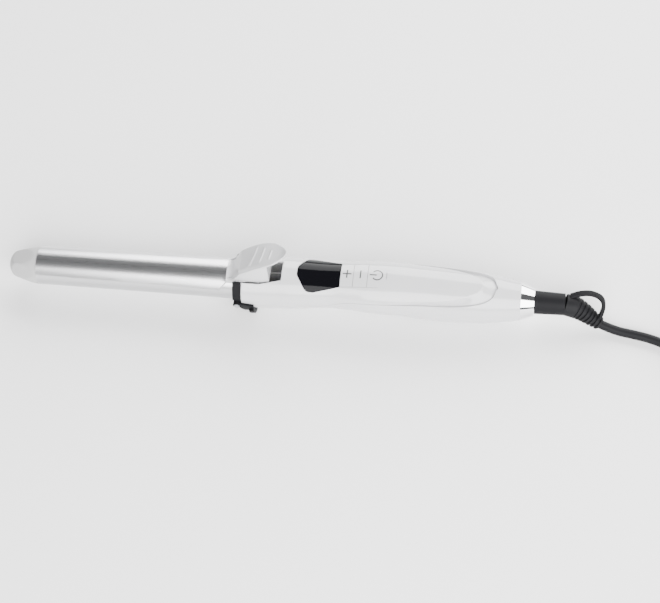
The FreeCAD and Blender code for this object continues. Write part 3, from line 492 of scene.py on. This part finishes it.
def lever_edge(along, half, top):
    """The +Y side below the pad: the round rim, its foot, the web and the edge of its hollow.

    Each place is across, up, and the drop from the rim's top, or None on the web.
    """
    rim = min(RIM, half * RIM_SHARE)
    flat = half - rim
    under = top - RIM_FOOT * rim
    web = min(max(flat - WEB_INSET, flat * WEB_SHARE), straight(WEB_HALF, along))
    floor = WEB_BOTTOM if along <= WEB_REAR else top - REAR_FOOT * rim
    in_cavity = CAVITY_FRONT <= along <= CAVITY_REAR
    inner = straight(CAVITY_HALF, along) if in_cavity else web * SOLID_SHARE
    edge = []
    for step in range(1, RIM_STEPS + 1):
        turn = math.pi / 2 - math.pi * step / RIM_STEPS
        drop = rim * (1 - math.sin(turn))
        edge.append((flat + rim * math.cos(turn), top - drop, drop))
    edge.append((web, under, RIM_FOOT * rim))
    for step in range(1, WEB_STEPS + 1):
        edge.append((web, under + (floor - under) * step / WEB_STEPS, None))
    edge.append((inner, floor, None))
    return edge


def lever_ring(along):
    """A section's ring: the dished pad, one side, the roof of the hollow, the other side."""
    half = max(along_curve(LEVER_HALF, along), LEVER_LEAST_HALF)
    top = along_curve(LEVER_TOP, along)
    flat = half - min(RIM, half * RIM_SHARE)
    dish = DISH_DEPTH * ease(along, DISH_START, DISH_FULL) * ease(half, 0.0, DISH_HALF)
    ring = []
    for step in range(-PAD_STEPS, PAD_STEPS + 1):
        part = step / PAD_STEPS
        up = top - dish * (1 - abs(part) ** DISH_CURVE) + ridge_height(along, flat * part)
        ring.append((flat * part, up, 0.0))
    edge = lever_edge(along, half, top)
    inner, ceiling = edge[-1][:2]
    if CAVITY_FRONT <= along <= CAVITY_REAR:
        under = edge[RIM_STEPS][1]
        ceiling = min(straight(CAVITY_TOP, along), under - dish)
    ring += edge
    ring += [(inner * (1 - 2 * step / ROOF_STEPS), ceiling, None) for step in range(ROOF_STEPS + 1)]
    ring += [(-across, up, drop) for across, up, drop in reversed(edge)]
    hug = 1 - ease(along, HUG_START, HUG_END)
    places = []
    for across, up, drop in ring:
        blade = math.sqrt(max(0.0, BLADE_OUTER ** 2 - across ** 2))
        if drop is not None:
            up = up * (1 - hug) + (blade + HUG_RISE - drop * 0.5) * hug
        if along < CLEAR_END:
            up = max(up, blade - CLEAR_SINK)
        places.append(point(along, across, up))
    return places


def make_lever():
    places = stations(LEVER_TOP[0][0], LEVER_TOP[-1][0], LEVER_STEP, LEVER_EDGES)
    corners, faces = rings_to_mesh([lever_ring(along) for along in places])
    mesh_piece("lever_pad", corners, faces, "white_gloss", "clamp", ("clamp_lever",))


# Cool tip: a dome with six shallow oval facets

TIP_LENGTH = 20.8
NOSE_RADIUS = 11.3
TIP_SIDE_RADIUS = 50.3
TUBE_RADIUS = 12.5
NOSE_END = 8.55
FACETS = 6
# A facet lies FACET_REACH from the axis at FACET_PLACE, and leans out by FACET_LEAN.
FACET_PLACE = 3.0
FACET_REACH = 7.75
FACET_LEAN = 0.30
EDGE_WEAR = 0.12
# Beyond this distance the edge has no effect.
WEAR_REACH = 2
TIP_RINGS = 44
TIP_STEPS = 180


def dome_radius(along):
    if along < NOSE_END:
        return math.sqrt(max(0.0, NOSE_RADIUS ** 2 - (NOSE_RADIUS - along) ** 2))
    return TUBE_RADIUS - TIP_SIDE_RADIUS + math.sqrt(TIP_SIDE_RADIUS ** 2 - (TIP_LENGTH - along) ** 2)


def worn_edge(radius, reach):
    """The smaller of the two, with the edge between them rounded off."""
    if reach >= radius + WEAR_REACH:
        return radius
    return reach - EDGE_WEAR * math.log(math.exp(reach / EDGE_WEAR - radius / EDGE_WEAR) + 1)


def tip_ring(along):
    radius = dome_radius(along)
    facet = FACET_REACH + (along - FACET_PLACE) * FACET_LEAN
    ring = []
    for step in range(TIP_STEPS):
        turn = 2 * math.pi * step / TIP_STEPS
        middle = round(turn / (2 * math.pi / FACETS)) * 2 * math.pi / FACETS
        worn = worn_edge(radius, facet / math.cos(turn - middle))
        ring.append(point(along, worn * math.sin(turn), worn * math.cos(turn)))
    return ring


def make_tip():
    turns = [math.pi / 2 * number / TIP_RINGS for number in range(1, TIP_RINGS + 1)]
    corners, faces = rings_to_mesh([tip_ring(TIP_LENGTH * (1 - math.cos(turn))) for turn in turns])
    mesh_piece("tip_dome", corners, faces, "tip_plastic", "iron", ("cool_tip",))


# Strain relief: a ribbed boot that bends down to the cord, with a flat hang loop

RELIEF = [(370.6, 0.0, 0.0), (376.5, -0.6, -1.2), (382.5, -2.0, -4.2), (388.4, -3.9, -8.2),
          (394.3, -6.0, -11.6)]
RELIEF_RADII = [(0.0, 7.1), (0.25, 7.3), (0.5, 6.5), (0.75, 5.4), (1.0, 4.4)]
HANG_LOOP = [(374.0, 3.0, 6.0), (380.5, 4.6, 7.6), (387.0, 5.2, 7.4), (393.0, 4.0, 5.0), (395.4, 0.8, 0.4),
             (393.6, -4.0, -7.9)]
RELIEF_RINGS = 150
ROUND_STEPS = 48
RIBS = 7
RIBS_START = 0.3
RIB_DEPTH = 0.95
RIBS_FADE = (0.28, 0.36)
RIB_EDGE = (0.35, 0.65)
STRAP_RINGS = 110
STRAP_STEPS = 32
STRAP_HALF_WIDE = 1.9
STRAP_HALF_THICK = 1.25
STRAP_NOTCHES = (0.40, 0.46, 0.52)
NOTCH_WIDTH = 0.012
NOTCH_DEPTH = 0.3


def smooth_path(places, count):
    rows = [(number / (len(places) - 1), *place) for number, place in enumerate(places)]
    return [Vector([along_curve(rows, step / (count - 1), column) for column in (1, 2, 3)])
            for step in range(count)]


def swept(path, profile):
    """Rings square to a path; profile(part) gives a ring's points across and over."""
    rings = []
    for number, centre in enumerate(path):
        ahead = path[min(number + 1, len(path) - 1)] - path[max(number - 1, 0)]
        ahead.normalize()
        aside = Vector((0, 1, 0)) if abs(ahead.y) < 0.9 else Vector((0, 0, 1))
        aside = (aside - ahead * aside.dot(ahead)).normalized()
        over = ahead.cross(aside)
        rings.append([point(*(centre + aside * across + over * up))
                      for across, up in profile(number / (len(path) - 1))])
    return rings_to_mesh(rings)


def relief_profile(part):
    """A round section, with the grooves between the ribs fading in at the front."""
    rib = 0.5 + 0.5 * math.cos(2 * math.pi * RIBS * (part - RIBS_START) / (1 - RIBS_START))
    groove = RIB_DEPTH * ease(part, *RIBS_FADE) * ease(rib, *RIB_EDGE)
    radius = along_curve(RELIEF_RADII, part) - groove
    turns = [2 * math.pi * step / ROUND_STEPS for step in range(ROUND_STEPS)]
    return [(radius * math.cos(turn), radius * math.sin(turn)) for turn in turns]


def rounded(value):
    """A sine or cosine drawn out towards 1, which squares a round section up."""
    return math.copysign(abs(value) ** 0.5, value)


def strap_profile(part):
    """A flat section with rounded corners, thinner at the notches."""
    notch = sum(math.exp(-((part - place) / NOTCH_WIDTH) ** 2) for place in STRAP_NOTCHES)
    half_thick = STRAP_HALF_THICK - NOTCH_DEPTH * notch * math.sin(math.pi * part)
    turns = [2 * math.pi * step / STRAP_STEPS for step in range(STRAP_STEPS)]
    return [(STRAP_HALF_WIDE * rounded(math.cos(turn)), half_thick * rounded(math.sin(turn)))
            for turn in turns]


def make_relief():
    boot, boot_faces = swept(smooth_path(RELIEF, RELIEF_RINGS), relief_profile)
    strap, strap_faces = swept(smooth_path(HANG_LOOP, STRAP_RINGS), strap_profile)
    faces = boot_faces + shifted(strap_faces, len(boot))
    mesh_piece("ribbed_relief", boot + strap, faces, "relief_rubber", "cord_swivel",
               ("strain_relief",))


# Signs on the keys: thin raised strokes that lie on the handle's skin

SIGN_HALF = 0.42
SIGN_RISE = 0.06
SIGN_SINK = 0.2
BAR_POINTS = 9
ARC_POINTS = 41
# The corners of a stroke's four sides, from those of its section.
STROKE_SIDES = ((0, 1), (1, 2), (2, 3), (3, 0))


def stroke(places):
    """A ribbon along points (along, across) on the handle's skin."""
    corners, faces = [], []
    for number, place in enumerate(places):
        here = Vector(place)
        ahead = Vector(places[min(number + 1, len(places) - 1)]) - Vector(places[max(number - 1, 0)])
        aside = Vector((-ahead.y, ahead.x)).normalized() * SIGN_HALF
        section = ((-SIGN_RISE, aside), (-SIGN_RISE, -aside), (SIGN_SINK, -aside), (SIGN_SINK, aside))
        for sink, edge in section:
            spot = here + edge
            half_width = handle_at(spot.x)[0]
            corners.append(point(*handle_place(spot.x, math.asin(spot.y / half_width), sink)))
    for number in range(len(places) - 1):
        base = number * 4
        for first, last in STROKE_SIDES:
            faces.append((base + first, base + last, base + 4 + last, base + 4 + first))
    faces += [(3, 2, 1, 0), tuple(range(len(corners) - 4, len(corners)))]
    return corners, faces


def bar(start, end):
    run = (end[0] - start[0], end[1] - start[1])
    parts = [step / (BAR_POINTS - 1) for step in range(BAR_POINTS)]
    return [(start[0] + run[0] * part, start[1] + run[1] * part) for part in parts]


def arc(centre, radius, start, end):
    """Places round a centre, from a start angle to an end angle in degrees."""
    parts = [step / (ARC_POINTS - 1) for step in range(ARC_POINTS)]
    turns = [math.radians(start + (end - start) * part) for part in parts]
    return [(centre[0] + radius * math.cos(turn), centre[1] + radius * math.sin(turn))
            for turn in turns]


def make_sign(name, strokes, body):
    corners, faces = [], []
    for places in strokes:
        more_corners, more_faces = stroke(places)
        faces += shifted(more_faces, len(corners))
        corners += more_corners
    mesh_piece(name, corners, faces, "sign_grey", body)


def make_signs():
    make_sign("plus_sign", [bar((226.4, 0), (232.2, 0)), bar((229.3, -3.0), (229.3, 3.0))], "plus_key")
    make_sign("minus_sign", [bar((238.1, -2.9), (238.1, 2.9))], "minus_key")
    make_sign("power_sign", [arc((249.0, 0), 3.4, -140, 140), bar((244.1, 0), (248.6, 0))], "power_key")


make_handle()
make_lever()
make_tip()
make_relief()
make_signs()


# CAD nodes keep their meshes and take the finish of their material slot

for subpart in frame["record"]["subparts"]:
    node = bpy.data.objects[subpart["node"]]
    node.data.materials.clear()
    node.data.materials.append(MATERIALS[subpart["material_slot"]])


# Cord: a free stretch, a hank of folded turns held by a tie, and a tail with the plug

CORD_RADIUS = 3.0
CORD_ROUTE = [(394.3, -6.0, -11.6), (404.0, -8.7, -14.2), (417.0, -10.6, -14.2),
              (431.0, -13.6, -14.2), (446.0, -20.4, -14.2), (463.0, -26.6, -14.2),
              (480.0, -30.0, -14.2)]
# The tail's points run from the end of the hank's straight sides and from its middle line.
TAIL_ROUTE = [(-16.0, -24.0, -2.2), (5.0, -24.0, -2.2), (23.0, -21.0, -5.4), (39.0, -14.5, -10.2),
              (54.0, -9.0, -10.2)]
HANK_START = 447.0
HANK_STRAIGHT = 110.0
HANK_MIDDLE_RADIUS = 21.0
HANK_ACROSS = -6.0
ARC_STEPS = 10
FIRST_ARC = HANK_START + HANK_MIDDLE_RADIUS + 2 * CORD_RADIUS
LAST_ARC = FIRST_ARC + HANK_STRAIGHT
# The inner lane is this much wider, so that its folds' radius stays above three diameters.
INNER_EXTRA = 0.3
INNER = HANK_MIDDLE_RADIUS - CORD_RADIUS + INNER_EXTRA
OUTER = HANK_MIDDLE_RADIUS + CORD_RADIUS
LAYERS = [-14.2, -8.2, -2.2]
CURVE_STEPS = 6

# Each half turn is two pairs of a radius and a layer: where its end arc begins and ends.
HALF_TURNS = [
    ((OUTER, 0), (OUTER, 0)), ((OUTER, 0), (INNER, 0)),
    ((INNER, 0), (INNER, 0)), ((INNER, 1), (INNER, 1)),
    ((INNER, 1), (OUTER, 1)), ((OUTER, 1), (OUTER, 1)),
    ((INNER, 2), (INNER, 2)), ((INNER, 2), (OUTER, 2)),
]


def hank_points():
    """The folded turns, as control points: two round ends joined by straight sides."""
    points = []
    for number, (first, last) in enumerate(HALF_TURNS):
        far_end = number % 2 == 0
        centre = LAST_ARC if far_end else FIRST_ARC
        turn = -math.pi / 2 if far_end else math.pi / 2
        for step in range(ARC_STEPS + 1):
            part = step / ARC_STEPS
            angle = turn + math.pi * part
            radius = first[0] + (last[0] - first[0]) * part
            radius /= math.cos(math.pi / ARC_STEPS / 2)
            up = LAYERS[first[1]] + (LAYERS[last[1]] - LAYERS[first[1]]) * part
            points.append((centre + radius * math.cos(angle), HANK_ACROSS + radius * math.sin(angle), up))
    return points


def curve_piece(name, places, radius, slot, body):
    curve = bpy.data.curves.new(name, "CURVE")
    curve.dimensions = "3D"
    curve.bevel_depth = radius * MM
    curve.bevel_resolution = CURVE_STEPS
    curve.resolution_u = CURVE_STEPS
    curve.use_fill_caps = True
    spline = curve.splines.new("NURBS")
    spline.points.add(len(places) - 1)
    for control, place in zip(spline.points, places):
        control.co = (*point(*place), 1)
    spline.use_endpoint_u = True
    spline.order_u = 3
    piece = bpy.data.objects.new(name, curve)
    bpy.context.collection.objects.link(piece)
    give_slot(piece, slot)
    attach(piece, body)
    return piece


tail_points = [(LAST_ARC + ahead, HANK_ACROSS + aside, up) for ahead, aside, up in TAIL_ROUTE]
cord_points = CORD_ROUTE + hank_points() + tail_points
cord = curve_piece("power_cord", cord_points, CORD_RADIUS, "relief_rubber", "cord_swivel")
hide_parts("cord", "cord_hank", "cord_tail")


# Floor, light and camera, in metres and watts

FLOOR_HALF = 6.0
SKY_COLOR = (0.97, 0.98, 1.0)
SKY_STRENGTH = 0.16
# Each light is its place, its width and height, and its power; all face LIT_PLACE.
LIGHTS = {
    "back_box": ((0.55, 1.25, 0.8), (2.6, 1.3), 112),
    "front_box": ((0.6, -1.3, 1.0), (2.4, 1.45), 140),
}
LIT_PLACE = (0.1, 0, 0)
LENS_LENGTH = 90.3
SENSOR_WIDTH = 36
CAMERA_PLACE = (0.1565, -0.5415, 0.9551)
# In degrees: the view's turn from the Y axis, its angle below level, and a last dip and roll.
CAMERA_TURN = 6.55
CAMERA_DOWN = 60
CAMERA_DIP = 0.505
CAMERA_ROLL = 4.28


def make_floor():
    mesh = bpy.data.meshes.new("floor")
    sides = ((-1, -1), (1, -1), (1, 1), (-1, 1))
    corners = [(across * FLOOR_HALF, aside * FLOOR_HALF, 0) for across, aside in sides]
    mesh.from_pydata(corners, [], [(0, 1, 2, 3)])
    floor = bpy.data.objects.new("floor", mesh)
    bpy.context.collection.objects.link(floor)
    material, tree, shader = new_material("floor_white", (0.9, 0.9, 0.9), 0.9)
    tint = ramp(tree, noise(tree, 3), (0.90, 0.90, 0.90), (0.93, 0.93, 0.93))
    tree.links.new(tint, shader.inputs["Base Color"])
    mesh.materials.append(material)


def area_light(name, place, size, power):
    light = bpy.data.lights.new(name, "AREA")
    light.shape = "RECTANGLE"
    light.size, light.size_y = size
    light.energy = power
    lamp = bpy.data.objects.new(name, light)
    bpy.context.collection.objects.link(lamp)
    lamp.location = place
    lamp.rotation_euler = (Vector(LIT_PLACE) - Vector(place)).to_track_quat("-Z", "Y").to_euler()


def make_light():
    world = bpy.data.worlds.new("studio")
    world.use_nodes = True
    sky = world.node_tree.nodes["Background"]
    sky.inputs["Color"].default_value = (*SKY_COLOR, 1)
    sky.inputs["Strength"].default_value = SKY_STRENGTH
    bpy.context.scene.world = world
    for name, (place, size, power) in LIGHTS.items():
        area_light(name, place, size, power)


def make_camera():
    camera = bpy.data.cameras.new("camera")
    camera.lens = LENS_LENGTH
    camera.sensor_width = SENSOR_WIDTH
    camera.dof.use_dof = False
    eye = bpy.data.objects.new("camera", camera)
    bpy.context.collection.objects.link(eye)
    turn, down, dip, roll = map(math.radians, (CAMERA_TURN, CAMERA_DOWN, CAMERA_DIP, CAMERA_ROLL))
    ahead = math.cos(turn)
    look = Vector((-math.sin(turn), math.cos(down) * ahead, -math.sin(down) * ahead))
    right = Vector((1, 0, 0))
    right = (right - look * right.dot(look)).normalized()
    over = right.cross(look)
    look = look * math.cos(dip) - over * math.sin(dip)
    over = right.cross(look)
    turned_right = right * math.cos(roll) + over * math.sin(roll)
    turned_over = -right * math.sin(roll) + over * math.cos(roll)
    axes = Matrix((turned_right, turned_over, -look)).transposed().to_4x4()
    eye.matrix_world = Matrix.Translation(CAMERA_PLACE) @ axes
    bpy.context.scene.camera = eye


make_floor()
make_light()
make_camera()

bpy.context.view_layer.update()
